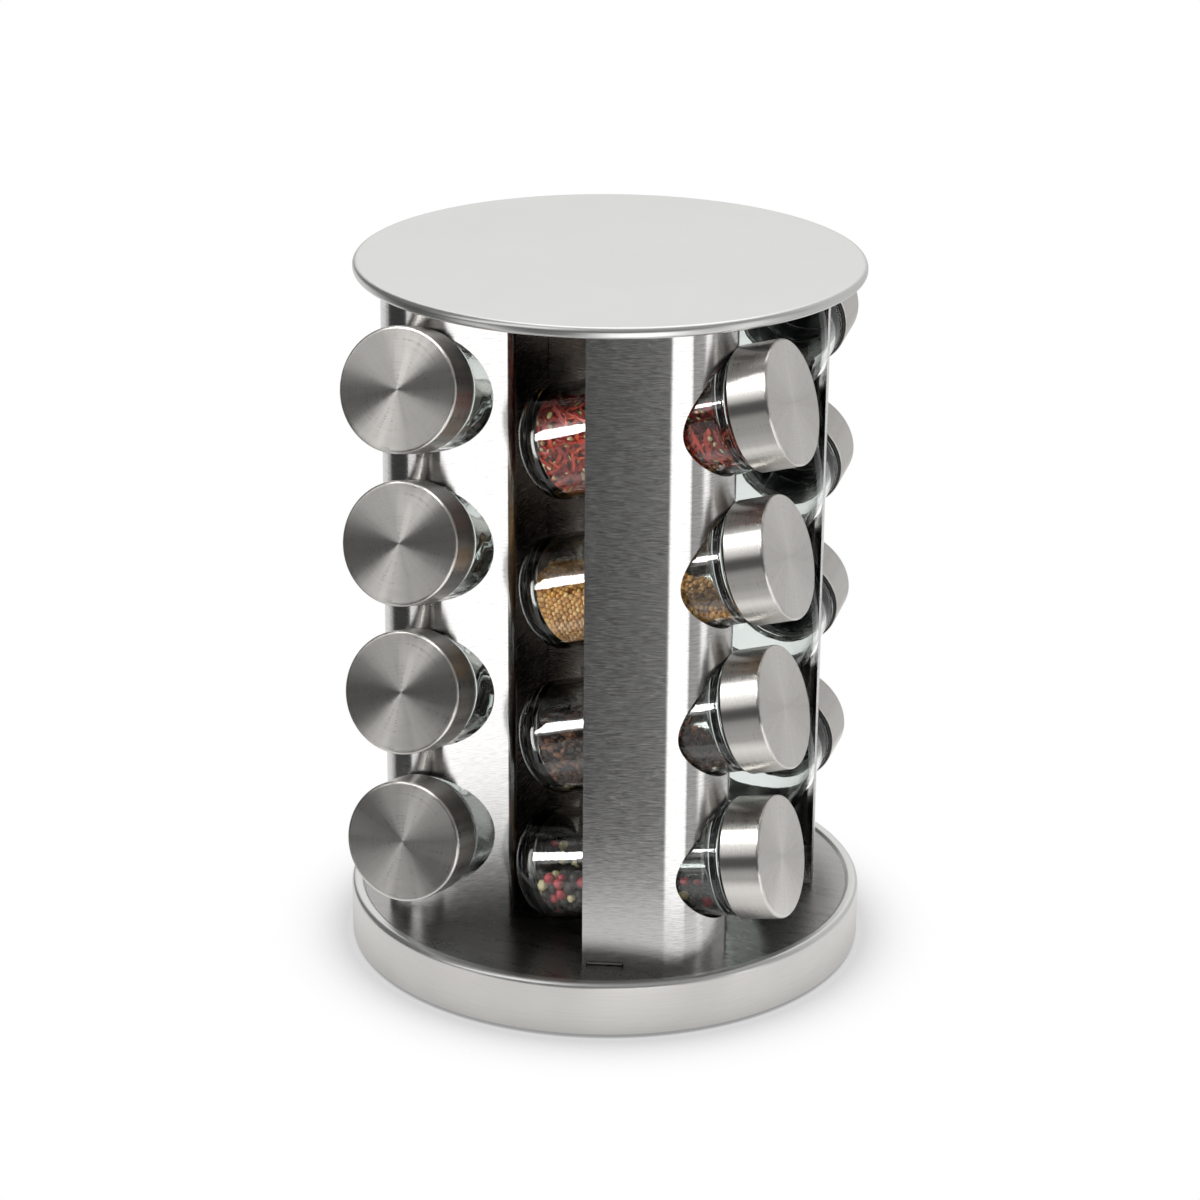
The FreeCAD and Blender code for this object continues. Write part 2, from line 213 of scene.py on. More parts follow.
class Shader:
    """A Principled material and short calls for the nodes that drive it."""

    def __init__(self, name, **settings):
        self.material = bpy.data.materials.new(name)
        self.material.use_nodes = True
        self.nodes = self.material.node_tree.nodes
        self.links = self.material.node_tree.links
        self.surface = self.nodes["Principled BSDF"]
        for socket, value in settings.items():
            self.surface.inputs[socket.replace("_", " ")].default_value = value

    def add(self, kind, **properties):
        node = self.nodes.new("ShaderNode" + kind)
        for key, value in properties.items():
            setattr(node, key, value)
        return node

    def link(self, source, target):
        self.links.new(source, target)
        return target.node

    def place(self, scale=(1, 1, 1), of="Object"):
        """Coordinates of the surface in metres, stretched by scale."""
        where = self.add("TexCoord")
        mapping = self.add("Mapping")
        mapping.inputs["Scale"].default_value = scale
        self.link(where.outputs[of], mapping.inputs["Vector"])
        return mapping.outputs["Vector"]

    def noise(self, where, scale=1.0, detail=2.0, roughness=0.5):
        node = self.add("TexNoise")
        node.inputs["Scale"].default_value = scale
        node.inputs["Detail"].default_value = detail
        node.inputs["Roughness"].default_value = roughness
        self.link(where, node.inputs["Vector"])
        return node.outputs["Fac"]

    def spread(self, value, low, high, start=0.3, end=0.7):
        node = self.add("MapRange")
        for socket, number in (("From Min", start), ("From Max", end), ("To Min", low), ("To Max", high)):
            node.inputs[socket].default_value = number
        self.link(value, node.inputs["Value"])
        return node.outputs["Result"]

    def sum(self, first, second, operation="ADD"):
        node = self.add("Math", operation=operation)
        self.link(first, node.inputs[0])
        if isinstance(second, (int, float)):
            node.inputs[1].default_value = second
        else:
            self.link(second, node.inputs[1])
        return node.outputs[0]

    def tones(self, value, stops):
        """Colour ramp from (place, colour) stops."""
        node = self.add("ValToRGB")
        ramp = node.color_ramp
        while len(ramp.elements) < len(stops):
            ramp.elements.new(0.5)
        for element, (position, colour) in zip(ramp.elements, stops):
            element.position = position
            element.color = (*colour, 1)
        self.link(value, node.inputs["Fac"])
        return node.outputs["Color"]

    def colour(self, value, stops):
        self.link(self.tones(value, stops), self.surface.inputs["Base Color"])

    def roughness(self, value):
        self.link(value, self.surface.inputs["Roughness"])

    def bump(self, height, distance, strength=1.0):
        node = self.add("Bump")
        node.inputs["Distance"].default_value = distance
        node.inputs["Strength"].default_value = strength
        self.link(height, node.inputs["Height"])
        self.link(node.outputs["Normal"], self.surface.inputs["Normal"])

    def upright_tangent(self):
        """Grooves run level round the piece, so its gloss is drawn out upwards."""
        node = self.add("CombineXYZ")
        node.inputs["Z"].default_value = 1.0
        self.link(node.outputs[0], self.surface.inputs["Tangent"])


def brushed(name, scale, detail, fade, stops, gloss, bump, anisotropy):
    """Rolled sheet with short level brush lines: how they are spaced, shaded, polished and cut."""
    steel = Shader(name, Metallic=1.0, Anisotropic=anisotropy)
    lines = steel.noise(steel.place(scale), detail=detail, roughness=fade)
    steel.colour(lines, stops)
    steel.roughness(steel.spread(lines, *gloss))
    steel.bump(lines, *bump)
    steel.upright_tangent()
    return steel.material


def satin(name, cloud_scale, fade, stops, gloss):
    """Matt blasted steel with faint clouds."""
    steel = Shader(name, Metallic=1.0)
    clouds = steel.noise(steel.place(cloud_scale), detail=4, roughness=fade)
    grain = steel.noise(steel.place((2600, 2600, 2600)), detail=2)
    steel.colour(clouds, stops)
    steel.roughness(steel.sum(steel.spread(clouds, *gloss), steel.spread(grain, -0.02, 0.02)))
    steel.bump(grain, 0.000004, 0.5)
    return steel.material


def satin_wall():
    """Edge of the turntable: the same steel with faint lines round it, in a darker tone that is painted
    shade.
    """
    steel = Shader("satin_wall", Metallic=1.0, Anisotropic=0.6)
    lines = steel.noise(steel.place((60, 60, 2200)), detail=3)
    clouds = steel.noise(steel.place((28, 28, 28)), detail=3)
    steel.colour(steel.sum(steel.sum(lines, clouds), 0.5, "MULTIPLY"),
                 [(0.35, (0.60, 0.585, 0.56)), (0.65, (0.68, 0.665, 0.64))])
    steel.roughness(steel.spread(lines, 0.28, 0.36))
    steel.bump(lines, 0.000004, 0.5)
    steel.upright_tangent()
    return steel.material


def spun_cap():
    """Cap: rings turned about its middle, with a faint painted star of reflected light in wedges."""
    steel = Shader("spun_cap", Metallic=1.0, Anisotropic=0.93, Anisotropic_Rotation=0.25)
    where = steel.place()
    across = steel.add("SeparateXYZ")
    steel.link(where, across.inputs[0])
    x, y, z = across.outputs
    radius = steel.sum(steel.sum(steel.sum(x, x, "MULTIPLY"), steel.sum(y, y, "MULTIPLY")), 0.5, "POWER")
    angle = steel.sum(y, x, "ARCTAN2")
    rings = steel.add("CombineXYZ")
    steel.link(steel.sum(radius, 2600.0, "MULTIPLY"), rings.inputs[0])
    steel.link(steel.sum(angle, 0.7, "MULTIPLY"), rings.inputs[1])
    steel.link(steel.sum(z, 2600.0, "MULTIPLY"), rings.inputs[2])
    ring_lines = steel.noise(rings.outputs[0], detail=3, roughness=0.6)
    wedges = steel.add("CombineXYZ")
    steel.link(steel.sum(angle, 7.0, "MULTIPLY"), wedges.inputs[0])
    steel.link(steel.sum(radius, 60.0, "MULTIPLY"), wedges.inputs[1])
    # Painted reflection: a faint star of brighter and darker wedges in the colour and gloss
    painted_star = steel.noise(wedges.outputs[0], detail=3)
    steel.colour(steel.sum(steel.sum(ring_lines, painted_star), 0.5, "MULTIPLY"),
                 [(0.38, (0.64, 0.62, 0.59)), (0.62, (0.72, 0.70, 0.665))])
    steel.roughness(steel.sum(steel.spread(ring_lines, 0.27, 0.32), steel.spread(painted_star, -0.015, 0.015)))
    steel.bump(ring_lines, 0.000002, 0.5)
    tangent = steel.add("Tangent", direction_type="RADIAL", axis="Z")
    steel.link(tangent.outputs[0], steel.surface.inputs["Tangent"])
    return steel.material


def jar_glass():
    """Moulded soda glass with slight waves; shadow rays pass so that the spices are lit."""
    glass = Shader("jar_glass", Transmission_Weight=1.0, Roughness=0.0, IOR=1.5,
                   Base_Color=(0.955, 0.985, 0.97, 1))
    waves = glass.noise(glass.place((70, 70, 45)), detail=2)
    glass.bump(waves, 0.00035, 0.35)
    clear = glass.add("BsdfTransparent")
    clear.inputs["Color"].default_value = (0.93, 0.96, 0.945, 1)
    path = glass.add("LightPath")
    mix = glass.add("MixShader")
    glass.link(path.outputs["Is Shadow Ray"], mix.inputs[0])
    glass.link(glass.surface.outputs[0], mix.inputs[1])
    glass.link(clear.outputs[0], mix.inputs[2])
    glass.link(mix.outputs[0], glass.nodes["Material Output"].inputs["Surface"])
    return glass.material


def moulded(name, dark, light, roughness, grain_size):
    """Moulded plastic or rubber with a fine spark-eroded grain."""
    plastic = Shader(name, Roughness=roughness)
    grain = plastic.noise(plastic.place((1, 1, 1)), scale=1 / (grain_size * MM), detail=3)
    plastic.colour(grain, [(0.3, dark), (0.7, light)])
    plastic.roughness(plastic.spread(grain, roughness - 0.06, roughness + 0.06))
    plastic.bump(grain, 0.00003, 0.5)
    return plastic.material


def plain_steel(name, dark, light, roughness, streak=(120, 120, 120)):
    """Plated or rolled steel with soft blotches and fine scratches."""
    steel = Shader(name, Metallic=1.0)
    blotch = steel.noise(steel.place(streak), detail=4)
    scratch = steel.noise(steel.place((2500, 400, 400)), detail=2)
    steel.colour(blotch, [(0.3, dark), (0.7, light)])
    steel.roughness(steel.sum(steel.spread(blotch, roughness - 0.05, roughness + 0.05),
                              steel.spread(scratch, -0.03, 0.03)))
    steel.bump(scratch, 0.000004, 0.5)
    return steel.material


def spice(name, stops, roughness, wrinkle_size, wrinkle_depth, mottle=0.12):
    """Dry grains: each takes its colour from its own shade, with mottling and wrinkles."""
    grain = Shader(name, Roughness=roughness)
    shade = grain.add("Attribute", attribute_name="shade")
    where = grain.place()
    spots = grain.noise(where, scale=1 / (wrinkle_size * MM), detail=4, roughness=0.65)
    mixed = grain.sum(shade.outputs["Fac"], grain.spread(spots, -mottle, mottle))
    grain.colour(mixed, stops)
    grain.roughness(grain.spread(spots, roughness - 0.1, roughness + 0.1))
    grain.bump(spots, wrinkle_depth * MM, 0.8)
    return grain.material


MATERIALS = {
    "brushed_sheet": brushed("brushed_sheet", (260, 260, 3000), 4, 0.7,
                             [(0.32, (0.46, 0.455, 0.45)), (0.52, (0.62, 0.61, 0.60)),
                              (0.7, (0.72, 0.71, 0.70))], (0.15, 0.23), (0.000008, 0.8), 0.92),
    # Darker copy of the brushed sheet: painted shade for the inner side wall in the cavity
    "dull_sheet": brushed("dull_sheet", (200, 200, 2000), 3, 0.6,
                          [(0.3, (0.17, 0.150, 0.135)), (0.7, (0.23, 0.205, 0.185))],
                          (0.24, 0.32), (0.000004, 0.6), 0.8),
    "satin_shell": satin("satin_shell", (28, 28, 28), 0.55,
                         [(0.3, (0.725, 0.725, 0.71)), (0.7, (0.745, 0.745, 0.735))], (0.345, 0.37)),
    # Darker copy of the shell's satin steel: painted shade on the deck
    "satin_deck": satin("satin_deck", (40, 260, 40), 0.6,
                        [(0.3, (0.36, 0.352, 0.345)), (0.7, (0.43, 0.422, 0.413))], (0.26, 0.31)),
    "satin_wall": satin_wall(),
    "spun_cap": spun_cap(),
    "jar_glass": jar_glass(),
    "liner": moulded("liner", (0.010, 0.010, 0.011), (0.022, 0.022, 0.024), 0.42, 0.35),
    "rubber": moulded("rubber", (0.015, 0.015, 0.015), (0.035, 0.034, 0.033), 0.75, 0.5),
    "bearing_steel": plain_steel("bearing_steel", (0.45, 0.46, 0.48), (0.62, 0.63, 0.65), 0.22),
    "plated_nut": plain_steel("plated_nut", (0.60, 0.61, 0.63), (0.82, 0.83, 0.85), 0.18, (500, 500, 500)),
    "base_sheet": plain_steel("base_sheet", (0.50, 0.50, 0.50), (0.60, 0.60, 0.59), 0.38, (40, 40, 40)),
    "chilli": spice("chilli", [(0.0, (0.16, 0.008, 0.004)), (0.35, (0.42, 0.022, 0.008)),
                               (0.6, (0.60, 0.075, 0.015)), (0.7, (0.42, 0.36, 0.14)),
                               (1.0, (0.80, 0.68, 0.38))], 0.55, 0.7, 0.10, 0.05),
    "mustard": spice("mustard", [(0.0, (0.24, 0.085, 0.018)), (0.3, (0.50, 0.215, 0.045)),
                                 (0.7, (0.66, 0.34, 0.085)), (1.0, (0.78, 0.50, 0.20))],
                     0.45, 0.5, 0.02),
    "clove": spice("clove", [(0.0, (0.020, 0.009, 0.006)), (0.5, (0.060, 0.024, 0.013)),
                             (0.85, (0.17, 0.065, 0.03)), (1.0, (0.30, 0.12, 0.05))], 0.6, 0.6, 0.12),
    "pepper": spice("pepper", [(0.0, (0.012, 0.008, 0.006)), (0.55, (0.045, 0.026, 0.018)),
                               (0.62, (0.26, 0.010, 0.016)), (0.80, (0.48, 0.035, 0.045)),
                               (0.86, (0.44, 0.34, 0.13)), (1.0, (0.74, 0.62, 0.36))],
                    0.5, 0.9, 0.16, 0.04),
}


# ---------------------------------------------------------------- steel structure

def corner_between(first_heading, second_heading, radius):
    """Corner of the sheet's outline about the big arc, where two straight runs would meet."""
    half = (second_heading - first_heading) / 2
    middle = (second_heading + first_heading) / 2
    reach = radius / math.cos(half)
    return ARC_CENTRE + reach * Vector((math.sin(middle), -math.cos(middle)))


def arc_end(heading, radius):
    return ARC_CENTRE + radius * Vector((math.sin(heading), -math.cos(heading)))


def sheet_face(depth):
    """One face of the bent sheet, from its free edge to the end of the inner side wall."""
    radius = ARC_RADIUS - depth
    along = Vector((math.cos(FLAT_HEADING), math.sin(FLAT_HEADING)))
    free = arc_end(FLAT_HEADING, radius) - FLAT_LENGTH * along
    back = arc_end(BACK_HEADING, radius)
    side = SIDE_Y - depth
    bend_x = back.x + (side - back.y) / math.tan(BACK_HEADING)
    return [tuple(free), (*corner_between(FLAT_HEADING, BACK_HEADING, radius), radius),
            (bend_x, side, SIDE_BEND + SHEET - depth), (SIDE_END, side)]


def tabs():
    """Start and heading of each fixing tab of column 1, on the sheet's outer face."""
    along = Vector((math.cos(FLAT_HEADING), math.sin(FLAT_HEADING)))
    flat_start = arc_end(FLAT_HEADING, ARC_RADIUS) - (FLAT_LENGTH - 2.0) * along
    return [(flat_start, FLAT_HEADING), (Vector((44.0, SIDE_Y)), math.pi)]


def stud_centres():
    centres = []
    for start, heading in tabs():
        along = Vector((math.cos(heading), math.sin(heading)))
        inward = Vector((-along.y, along.x))
        centres.append(start + along * TAB_WIDTH / 2 + inward * (SHEET + STUD_INSET))
    return centres


def tab(start, heading, level, rise):
    """Sheet tab bent inwards at level; rise is +1 at the foot and -1 under the top."""
    bend = TAB_BEND + SHEET
    leg = bend + 0.6
    outline = rounded([(0, leg), (0, 0, bend), (TAB_REACH, 0), (TAB_REACH, SHEET),
                       (SHEET, SHEET, TAB_BEND), (SHEET, leg)], hold=0)
    points, faces = extruded(outline, 0, TAB_WIDTH)
    inward = Vector((-math.sin(heading), math.cos(heading)))
    along = Vector((math.cos(heading), math.sin(heading)))
    shaped = []
    for depth, height, width in points:
        spot = start + inward * depth + along * width
        shaped.append((spot.x, spot.y, level + rise * height))
    return shaped, faces


def notch(start, heading, level):
    """Cutter for the gap that a tab is bent out of."""
    along = Vector((math.cos(heading), math.sin(heading)))
    outward = Vector((along.y, -along.x))
    width = TAB_WIDTH + 2 * TAB_RELIEF
    corner = start - along * TAB_RELIEF + outward
    outline = [corner, corner + along * width, corner + along * width - outward * (SHEET + 2),
               corner - outward * (SHEET + 2)]
    reach = TAB_BEND + SHEET
    return extruded([tuple(point) for point in outline], level - reach, level + reach)


def jar_frame(column, row):
    """Placement of a jar: Z along its axis towards the cap, X upwards, origin in the hole."""
    joint = next(j for j in frame["joints"] if j["child"] == f"jar_c{column}_r{row}")
    axis = Vector(joint["axis"]).normalized()
    low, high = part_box(f"jar_cap_c{column}_r{row}")
    origin = (low + high) / 2 - axis * (CAP_FACE + CAP_REAR) / 2 * MM
    upward = (UP - axis * UP.dot(axis)).normalized()
    matrix = Matrix((upward, axis.cross(upward), axis)).transposed().to_4x4()
    matrix.translation = origin
    return matrix


def in_mm(matrix):
    scaled = matrix.copy()
    scaled.translation = matrix.translation / MM
    return scaled


def boolean_cut(obj, cutter_parts):
    cutter = finished("cutter", *joined(cutter_parts), MATERIALS["brushed_sheet"])
    cut = obj.modifiers.new("cut", "BOOLEAN")
    cut.operation = "DIFFERENCE"
    cut.solver = "EXACT"
    cut.object = cutter
    edge = obj.modifiers.new("edge", "BEVEL")
    edge.width = 0.09 * MM
    edge.segments = 2
    edge.limit_method = "ANGLE"
    edge.angle_limit = math.radians(50)
    edge.harden_normals = True
    bpy.context.view_layer.update()
    graph = bpy.context.evaluated_depsgraph_get()
    mesh = bpy.data.meshes.new_from_object(obj.evaluated_get(graph))
    obj.modifiers.clear()
    obj.data = mesh
    bpy.data.objects.remove(cutter)


def column_panel(column):
    """Bent sheet with four jar holes, notches and tabs."""
    outer = rounded(sheet_face(0), math.radians(1.5), hold=0.4)
    inner = rounded(sheet_face(SHEET), math.radians(1.5), hold=0.4)
    count = len(outer)
    points = [(x, y, z) for z in (DECK, CEILING) for x, y in outer + inner]
    top = 2 * count
    faces = []
    for i in range(count - 1):
        o, p, q, r = i, i + 1, count + i + 1, count + i
        faces += [(o, p, p + top, o + top), (q, r, r + top, q + top), (o, r, q, p),
                  (o + top, p + top, q + top, r + top)]
    for i in (0, count - 1):
        faces.append((i, i + count, i + count + top, i + top))
    panel = finished(f"panel_{column}", points, faces, MATERIALS["brushed_sheet"])
    cutters = []
    for row in ROWS:
        hole = revolved([(0, -30), (HOLE_RADIUS, -30), (HOLE_RADIUS, 30), (0, 30)], 144)
        cutters.append(moved(hole, in_mm(quarter_turn(column).inverted() @ jar_frame(column, row))))
    for start, heading in tabs():
        cutters += [notch(start, heading, level) for level in (DECK, CEILING)]
    boolean_cut(panel, cutters)
    strips = joined([tab(start, heading, level, rise) for start, heading in tabs()
                     for level, rise in ((DECK, 1), (CEILING, -1))])
    bent = finished(f"panel_{column}_tabs", *strips, MATERIALS["brushed_sheet"])
    # Inner side wall in the cavity gets the darker copy of the same sheet: painted shade
    set_parts(panel, MATERIALS["dull_sheet"], lambda face: face.center.x < INNER_WALL * MM
              and face.center.y > (SIDE_Y - 2) * MM)
    whole = join_objects(panel, bent)
    whole.data.transform(quarter_turn(column))
    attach(whole, "carousel")
    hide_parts(f"column_panel_{column}")


def join_objects(first, *others):
    """Merge meshes into the first object, keeping their materials."""
    with bpy.context.temp_override(active_object=first, selected_editable_objects=[first, *others]):
        bpy.ops.object.join()
    return first


def threaded_stud(low, high):
    """Rod with a screw thread of 0.7 mm pitch and chamfered ends."""
    pitch, depth, end = 0.7, 0.28, 0.5
    heights = [low] + [low + i * pitch / 5 for i in range(1, int((high - low) / pitch * 5))] + [high]
    outline = [(0, low)] + [(STUD_RADIUS, height) for height in heights] + [(0, high)]

    def thread(radius, height, angle):
        wave = abs(((height / pitch - angle / TAU) % 1) - 0.5) * 2
        near_end = max(0, end - (height - low), end - (high - height))
        return -depth * wave - near_end * 0.8

    return revolved(outline, 24, thread)


def studs(low, high):
    parts = []
    for column in COLUMNS:
        for centre in stud_centres():
            shift = quarter_turn(column) @ Matrix.Translation((centre.x, centre.y, 0))
            parts.append(moved(threaded_stud(low, high), shift))
    return joined(parts)


def turntable_shell():
    """Pressed shell: wall, edge bead and recessed deck, with the studs welded on."""
    bead = 96.0
    outline = rounded([(0, 21), (bead - 1, 21), (bead, 22, 1.0), (100, 22, 2.0), (100, 1.5),
                       (99.2, 1.5), (99.2, 21.2, 1.2), (bead, 21.2), (bead - 1, 20.2), (0, 20.2)])
    shell = turned("turntable", outline, MATERIALS["satin_shell"], 288)
    # The wall gets a darker copy of the steel: painted shade, with real brush lines round it
    set_parts(shell, MATERIALS["satin_wall"],
              lambda face: face.center.z < 20.6 * MM and abs(face.normal.z) < 0.5)
    # The deck gets the darker copy of the same steel: painted shade
    set_parts(shell, MATERIALS["satin_deck"],
              lambda face: face.normal.z > 0.5 and face.center.xy.length < (bead - 1.5) * MM)
    rods = finished("turntable_studs", *studs(DECK, DECK + STUD_LENGTH), MATERIALS["plated_nut"])
    shell = join_objects(shell, rods)
    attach(shell, "carousel")
    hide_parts("turntable_shell")


def top_disc():
    """Flat top with its edge turned down and curled in."""
    edge, top, low, under = 95.7, 273.0, 268.8, 272.2
    outline = rounded([(0, top), (edge, top, 2.0), (edge, low, 1.6), (edge - 3.2, low),
                       (edge - 3.2, low + 0.8), (edge - 0.8, low + 0.8, 0.8),
                       (edge - 0.8, under, 0.8), (0, under)])
    disc = turned("top", outline, MATERIALS["satin_shell"], 288)
    rods = finished("top_studs", *studs(under - STUD_LENGTH, under), MATERIALS["plated_nut"])
    disc = join_objects(disc, rods)
    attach(disc, "carousel")
    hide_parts("top_disc")


def hex_nut():
    """Hexagon nut with chamfered corners and bore, standing on z = 0."""
    flat = NUT_RADIUS * math.cos(math.pi / 6)
    chamfer = 0.35
    segments = 72
    levels = [(0, flat - 0.1), (chamfer, NUT_RADIUS), (NUT_HEIGHT - chamfer, NUT_RADIUS),
              (NUT_HEIGHT, flat - 0.1)]
    bore = [(NUT_HEIGHT, NUT_BORE + 0.3), (NUT_HEIGHT - 0.3, NUT_BORE), (0.3, NUT_BORE), (0, NUT_BORE + 0.3)]
    outline = [(radius, height) for height, radius in levels]
    outline += [(radius, height) for height, radius in bore]

    def six_sided(radius, height, angle):
        if radius < flat - 0.2:
            return 0
        edge = flat / math.cos((angle + math.pi / 6) % (math.pi / 3) - math.pi / 6)
        return min(radius, edge) - radius

    return revolved(outline, segments, six_sided)


def nuts():
    parts = []
    for column in COLUMNS:
        for centre in stud_centres():
            for low in (DECK + SHEET, CEILING - SHEET - NUT_HEIGHT):
                shift = quarter_turn(column) @ Matrix.Translation((centre.x, centre.y, low))
                parts.append(moved(hex_nut(), shift))
    nut_set = finished("nut_set", *joined(parts), MATERIALS["plated_nut"], math.radians(25))
    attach(nut_set, "carousel")
    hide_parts("nuts")


# ---------------------------------------------------------------- jars and caps

def screw_thread(radius, height, angle):
    """Thread of the jar's neck: one and a half turns that fade in and out."""
    if abs(radius - NECK_RADIUS) > 0.01 or not 8 < height < 19:
        return 0
    pitch, half_width, reach, turns = 4.0, 1.0, 1.0, 1.5
    rise = 0
    for turn in range(3):
        travelled = turn + angle / TAU
        if travelled > turns:
            break
        middle = 10.2 + pitch * travelled
        fade = min(1, travelled * 6, (turns - travelled) * 6)
        near = max(0, 1 - abs(height - middle) / half_width)
        rise = max(rise, reach * fade * near * near * (3 - 2 * near))
    return rise


def glass_outline():
    neck = [(NECK_RADIUS, 18.8 - 0.4 * i) for i in range(27)]
    corners = [(NECK_BORE, GLASS_MOUTH, 0.7), (NECK_RADIUS, GLASS_MOUTH, 0.7)]
    lower = [(NECK_RADIUS, GLASS_REAR, 0.6), (21.8, GLASS_REAR, 0.7), (21.8, GLASS_REAR - 1.8, 0.5),
             (GLASS_RADIUS, GLASS_REAR - 1.8, 0.15), (GLASS_RADIUS, GLASS_BOTTOM, HEEL),
             (8.5, GLASS_BOTTOM, 0.6), (5.5, GLASS_BOTTOM + 1.5, 1.0), (0, GLASS_BOTTOM + 1.5),
             (0, GLASS_FLOOR), (INSIDE_RADIUS, GLASS_FLOOR, INSIDE_HEEL),
             (INSIDE_RADIUS, SHOULDER_START, 2.0), (NECK_BORE, SHOULDER_END, 2.0)]
    return rounded(corners + neck + lower, math.radians(7.5), hold=0.2)


def jar(column, row):
    body = f"jar_c{column}_r{row}"
    glass = turned(f"glass_c{column}_r{row}", glass_outline(), MATERIALS["jar_glass"], 96, screw_thread)
    glass.matrix_world = jar_frame(column, row)
    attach(glass, body)
    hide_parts(f"jar_glass_c{column}_r{row}")


def cap(column, row):
    body = f"cap_c{column}_r{row}"
    outline = rounded([(0, CAP_FACE), (CAP_RADIUS, CAP_FACE, CAP_ROUNDING), (CAP_RADIUS, CAP_REAR, 0.2),
                       (CAP_RADIUS - CAP_WALL, CAP_REAR, 0.2),
                       (CAP_RADIUS - CAP_WALL, CAP_FACE - CAP_WALL, 0.6), (0, CAP_FACE - CAP_WALL)])
    steel = turned(f"cap_c{column}_r{row}", outline, MATERIALS["spun_cap"], 160)
    steel.matrix_world = jar_frame(column, row)
    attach(steel, body)
    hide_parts(f"jar_cap_c{column}_r{row}")
    top = CAP_FACE - CAP_WALL - 0.05
    outline = rounded([(0, top), (22.3, top, 1.0), (22.3, CAP_REAR), (21.9, CAP_REAR - 0.8, 0.15),
                       (19.0, CAP_REAR - 0.8, 0.3), (19.0, top - 1.5, 0.5), (0, top - 1.5)])
    insert = turned(f"liner_c{column}_r{row}", outline, MATERIALS["liner"], 128)
    insert.matrix_world = jar_frame(column, row)
    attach(insert, body)
    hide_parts(f"cap_liner_c{column}_r{row}")


# ---------------------------------------------------------------- spices

def cavity_radius(along, clearance=0.15):
    """Inner radius of the jar at a place along its axis."""
    inside = INSIDE_RADIUS - clearance
    heel_start = GLASS_FLOOR + INSIDE_HEEL
    if along < heel_start:
        drop = min(INSIDE_HEEL, heel_start - along)
        return inside - INSIDE_HEEL + math.sqrt(INSIDE_HEEL ** 2 - drop ** 2)
    if along < SHOULDER_START - 2:
        return inside
    share = min(1, (along - SHOULDER_START + 2) / (SHOULDER_END - SHOULDER_START + 2))
    return inside + (NECK_BORE - INSIDE_RADIUS) * share


UPRIGHT = jar_frame(1, 1).to_3x3().transposed() @ UP      # straight up, in a jar's own directions


def surface(level, along):
    """Height of the fill at a place along the leaning jar: level at its floor, and flat in the world."""
    return level - (along - GLASS_FLOOR) * UPRIGHT.z / UPRIGHT.x


def hex_layers(draw, size, fill_level, jitter):
    """Grain centres against the wall, the floor and the free surface, in jittered rows."""
    wall, top, base = range(3)
    spots = []
    lift = size * 0.866
    row = 0
    along = GLASS_FLOOR + size / 2 + 0.1
    while along < GLASS_MOUTH - size / 2:
        reach = cavity_radius(along) - size / 2
        level = surface(fill_level, along)
        if reach > size:
            step = size / reach
            angle = row % 2 * step / 2
            while angle < TAU:
                height = reach * math.cos(angle)
                if height < level - size / 2:
                    spots.append((height, reach * math.sin(angle), along, wall))
                angle += step
            side = -reach + size * (0.5 + row % 2 / 2)
            while side < reach:
                room = math.sqrt(max(0, (reach - size * 0.4) ** 2 - side ** 2))
                if abs(level - size / 2) < room:
                    spots.append((level - size / 2, side, along, top))
                side += size
        along += lift
        row += 1
    flat = cavity_radius(GLASS_FLOOR + size / 2) + size * 0.3
    rows = int(2 * flat / lift)
    for i in range(rows + 1):
        for j in range(int(2 * flat / size) + 1):
            high, side = -flat + i * lift, -flat + (j + i % 2 / 2) * size
            if math.hypot(high, side) < flat and high < fill_level - size / 2:
                spots.append((high, side, GLASS_FLOOR + size / 2 + 0.1, base))
    placed_spots = []
    for high, side, along, kind in spots:
        wobble = [draw.gauss(0, jitter * size) for _ in range(3)]
        if kind == top:
            wobble[0] = draw.gauss(0, size * 0.28)
        spot = Vector((high + wobble[0] * (0.3 if kind == wall else 1), side + wobble[1], along + wobble[2]))
        placed_spots.append(kept_inside(spot, size / 2))
    return placed_spots


def kept_inside(spot, radius):
    """Push a grain's centre back so that it stays in the jar."""
    along = min(max(spot.z, GLASS_FLOOR + radius + 0.05), GLASS_MOUTH - radius)
    room = max(0.1, cavity_radius(along) - radius)
    reach = math.hypot(spot.x, spot.y)
    share = min(1, room / reach) if reach else 1
    return Vector((spot.x * share, spot.y * share, along))


def random_layer(draw, spacing, fill_level, depth, tries):
    """Grain centres at random within depth of the surface of the fill."""
    cells, spots = {}, []
    for _ in range(tries):
        along = draw.uniform(GLASS_FLOOR + spacing / 2, GLASS_MOUTH - 1)
        room = cavity_radius(along) - spacing / 3
        level = surface(fill_level, along)
        if level < -room:
            continue
        high = draw.uniform(-room, min(room, level))
        side = draw.uniform(-room, room)
        reach = math.hypot(high, side)
        if reach > room:
            continue
        near = min(room - reach, level - high, along - GLASS_FLOOR - spacing / 2)
        if near > depth:
            continue
        spot = Vector((high, side, along))
        key = tuple(int(value // spacing) for value in spot)
        close = any((spot - other).length < spacing
                    for dx in (-1, 0, 1) for dy in (-1, 0, 1) for dz in (-1, 0, 1)
                    for other in cells.get((key[0] + dx, key[1] + dy, key[2] + dz), ()))
        if not close:
            cells.setdefault(key, []).append(spot)
            spots.append(spot)
    return spots


